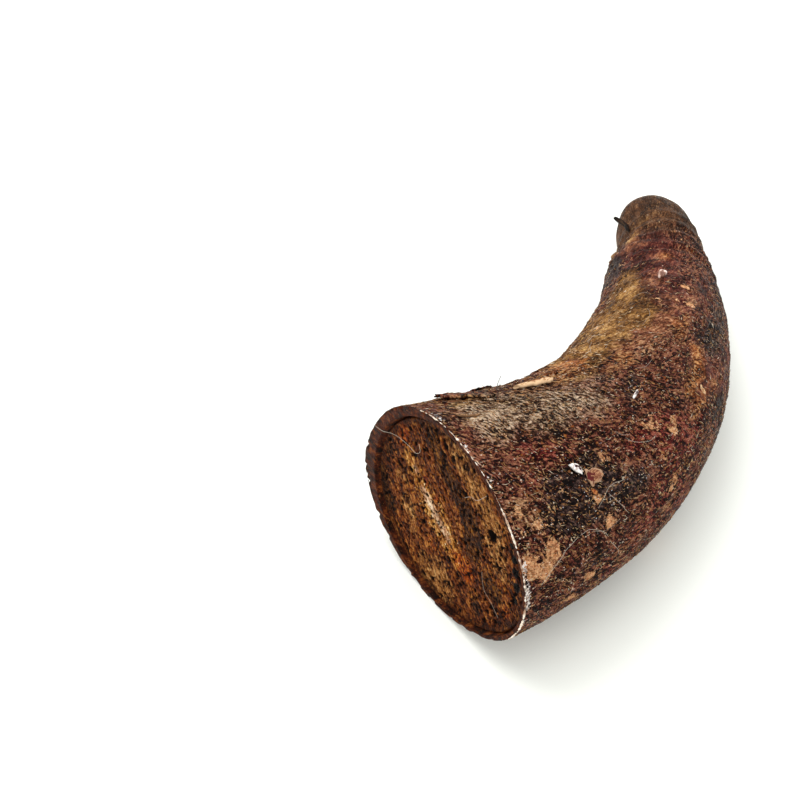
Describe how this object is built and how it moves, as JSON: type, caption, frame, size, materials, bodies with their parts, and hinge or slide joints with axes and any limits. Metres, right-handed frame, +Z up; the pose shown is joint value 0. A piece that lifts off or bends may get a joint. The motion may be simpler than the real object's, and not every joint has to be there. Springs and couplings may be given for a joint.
{
  "type": "cow horn",
  "caption": "Sawn-off curved cow horn lying on its side: a rough dark horn sheath, hollow at the base, round a porous bone core that shows in the sawn end.",
  "frame": {"origin": "on the surface the horn lies on, under the middle of its bounding box", "axes": "+Z up; the horn's longest extent runs along +Y, towards its tip; the sawn end faces -X and -Y"},
  "size_m": [0.0995, 0.1753, 0.0547],
  "materials": {
    "horn": "satin",
    "bone": "matte"
  },
  "bodies": {
    "root": {"horn_sheath": "horn", "bone_core": "bone"}
  },
  "joints": []
}
